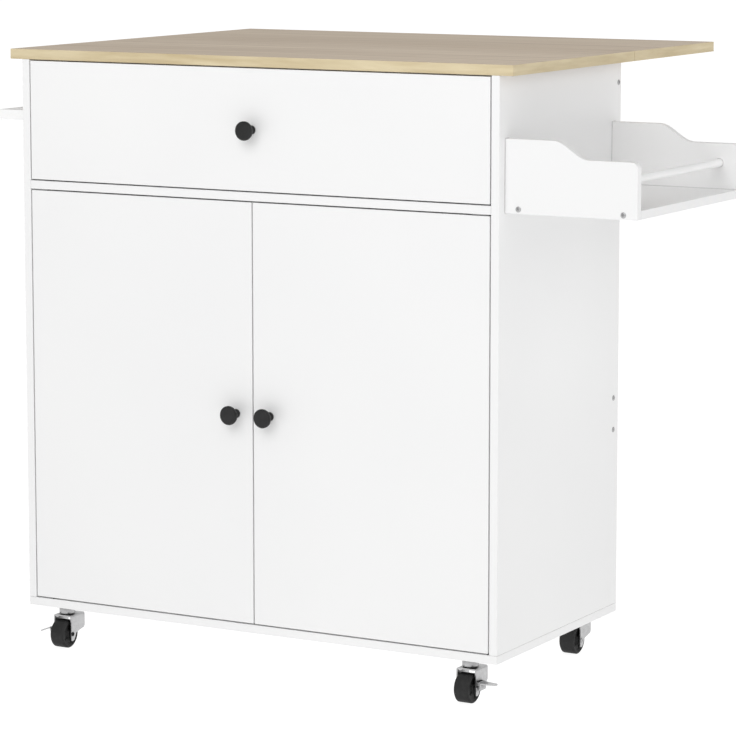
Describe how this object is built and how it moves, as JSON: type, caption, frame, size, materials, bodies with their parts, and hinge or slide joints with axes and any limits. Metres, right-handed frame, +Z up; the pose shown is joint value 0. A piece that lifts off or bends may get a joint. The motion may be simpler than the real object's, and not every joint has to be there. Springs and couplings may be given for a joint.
{
  "type": "drop leaf kitchen island",
  "caption": "Rolling kitchen island with a drop leaf at the back, a drawer over a pair of doors, a side rack, a towel rail and swivel casters.",
  "frame": {"origin": "on the floor, under the middle of the whole outline with the leaf raised", "axes": "+X to the right along the front, +Y to the back, +Z up"},
  "size_m": [1.0636, 0.714, 0.909],
  "materials": {
    "white_board": "satin white coated board",
    "oak_board": "light oak decor, satin",
    "hardboard": "white lacquered hardboard",
    "black_metal": "satin black",
    "zinc_steel": "bright zinc plated",
    "runner_steel": "zinc plated, satin",
    "black_tread": "matte black nylon",
    "white_plastic": "matte white"
  },
  "bodies": {
    "cabinet": {"bottom_panel": "white_board", "left_side_panel": "white_board", "right_side_panel": "white_board", "divider_panel": "white_board", "back_panel": "hardboard", "top_back_rail": "white_board", "middle_back_rail": "white_board", "front_stretcher": "white_board", "shelf": "white_board", "shelf_pins": "zinc_steel", "worktop": "oak_board", "worktop_hinge_straps": "zinc_steel", "leaf_hinge_pins": "zinc_steel", "cabinet_runners": "runner_steel", "magnetic_catch": "white_plastic", "door_pivot_plates": "zinc_steel", "pivot_screws": "zinc_steel", "rack_front_board": "white_board", "rack_back_board": "white_board", "rack_floor": "white_board", "rack_rod": "white_board", "rack_screws": "zinc_steel", "towel_rod": "white_board", "towel_arms": "white_board", "carcass_screws": "zinc_steel", "bracket_screws": "zinc_steel", "worktop_strap_screws": "zinc_steel", "caster_mounts": "zinc_steel", "caster_inserts": "zinc_steel"},
    "leaf": {"drop_leaf": "oak_board", "leaf_hinge_straps": "zinc_steel", "leaf_strap_screws": "zinc_steel"},
    "drawer": {"drawer_front": "white_board", "drawer_left_side": "white_board", "drawer_right_side": "white_board", "drawer_back": "white_board", "drawer_bottom": "hardboard", "drawer_knob": "black_metal", "drawer_runners": "runner_steel"},
    "runner_middles": {"middle_runners": "runner_steel"},
    "left_door": {"left_door": "white_board", "left_door_knob": "black_metal", "left_strike_plate": "zinc_steel"},
    "right_door": {"right_door": "white_board", "right_door_knob": "black_metal", "right_strike_plate": "zinc_steel"},
    "front_left_caster": {"front_left_fork": "zinc_steel", "front_left_axle": "black_metal"},
    "front_left_rolling_wheel": {"front_left_wheel": "black_tread"},
    "front_right_caster": {"front_right_fork": "zinc_steel", "front_right_axle": "zinc_steel"},
    "front_right_rolling_wheel": {"front_right_wheel": "black_tread"},
    "back_left_caster": {"back_left_fork": "zinc_steel", "back_left_axle": "zinc_steel"},
    "back_left_rolling_wheel": {"back_left_wheel": "black_tread"},
    "back_right_caster": {"back_right_fork": "zinc_steel", "back_right_axle": "zinc_steel"},
    "back_right_rolling_wheel": {"back_right_wheel": "black_tread"},
    "left_brake": {"left_brake_pedal": "zinc_steel"},
    "right_brake": {"right_brake_pedal": "zinc_steel"}
  },
  "joints": [
    {"name": "leaf_hinge", "type": "hinge", "parent": "cabinet", "child": "leaf", "pos_m": [-0.07025, 0.0645, 0.891], "axis": [1, 0, 0], "range_deg": [-90, 0]},
    {"name": "drawer_slide", "type": "slide", "parent": "cabinet", "child": "drawer", "axis": [0, -1, 0], "range_m": [0, 0.25]},
    {"name": "runner_slide", "type": "slide", "parent": "cabinet", "child": "runner_middles", "axis": [0, -1, 0], "range_m": [0, 0.125]},
    {"name": "left_door_hinge", "type": "hinge", "parent": "cabinet", "child": "left_door", "pos_m": [-0.44075, -0.32575, 0.389], "axis": [0, 0, 1], "range_deg": [-110, 0]},
    {"name": "right_door_hinge", "type": "hinge", "parent": "cabinet", "child": "right_door", "pos_m": [0.30025, -0.32575, 0.389], "axis": [0, 0, 1], "range_deg": [0, 110]},
    {"name": "front_left_swivel", "type": "hinge", "parent": "cabinet", "child": "front_left_caster", "pos_m": [-0.41675, -0.3095, 0.049], "axis": [0, 0, 1], "continuous": true},
    {"name": "front_left_roll", "type": "hinge", "parent": "front_left_caster", "child": "front_left_rolling_wheel", "pos_m": [-0.41675, -0.319, 0.0215], "axis": [1, 0, 0], "continuous": true},
    {"name": "front_right_swivel", "type": "hinge", "parent": "cabinet", "child": "front_right_caster", "pos_m": [0.27625, -0.3095, 0.049], "axis": [0, 0, 1], "continuous": true},
    {"name": "front_right_roll", "type": "hinge", "parent": "front_right_caster", "child": "front_right_rolling_wheel", "pos_m": [0.27625, -0.319, 0.0215], "axis": [1, 0, 0], "continuous": true},
    {"name": "back_left_swivel", "type": "hinge", "parent": "cabinet", "child": "back_left_caster", "pos_m": [-0.41675, 0.0315, 0.049], "axis": [0, 0, 1], "continuous": true},
    {"name": "back_left_roll", "type": "hinge", "parent": "back_left_caster", "child": "back_left_rolling_wheel", "pos_m": [-0.41675, 0.022, 0.0215], "axis": [1, 0, 0], "continuous": true},
    {"name": "back_right_swivel", "type": "hinge", "parent": "cabinet", "child": "back_right_caster", "pos_m": [0.27625, 0.0315, 0.049], "axis": [0, 0, 1], "continuous": true},
    {"name": "back_right_roll", "type": "hinge", "parent": "back_right_caster", "child": "back_right_rolling_wheel", "pos_m": [0.27625, 0.022, 0.0215], "axis": [1, 0, 0], "continuous": true},
    {"name": "left_brake_press", "type": "hinge", "parent": "front_left_caster", "child": "left_brake", "pos_m": [-0.43555, -0.31345, 0.029], "axis": [0, -1, 0], "range_deg": [-22, 0]},
    {"name": "right_brake_press", "type": "hinge", "parent": "front_right_caster", "child": "right_brake", "pos_m": [0.29505, -0.31345, 0.029], "axis": [0, 1, 0], "range_deg": [0, 22]}
  ],
  "couplings": [
    {"joint": "runner_slide", "follows": "drawer_slide", "ratio": 0.5}
  ]
}
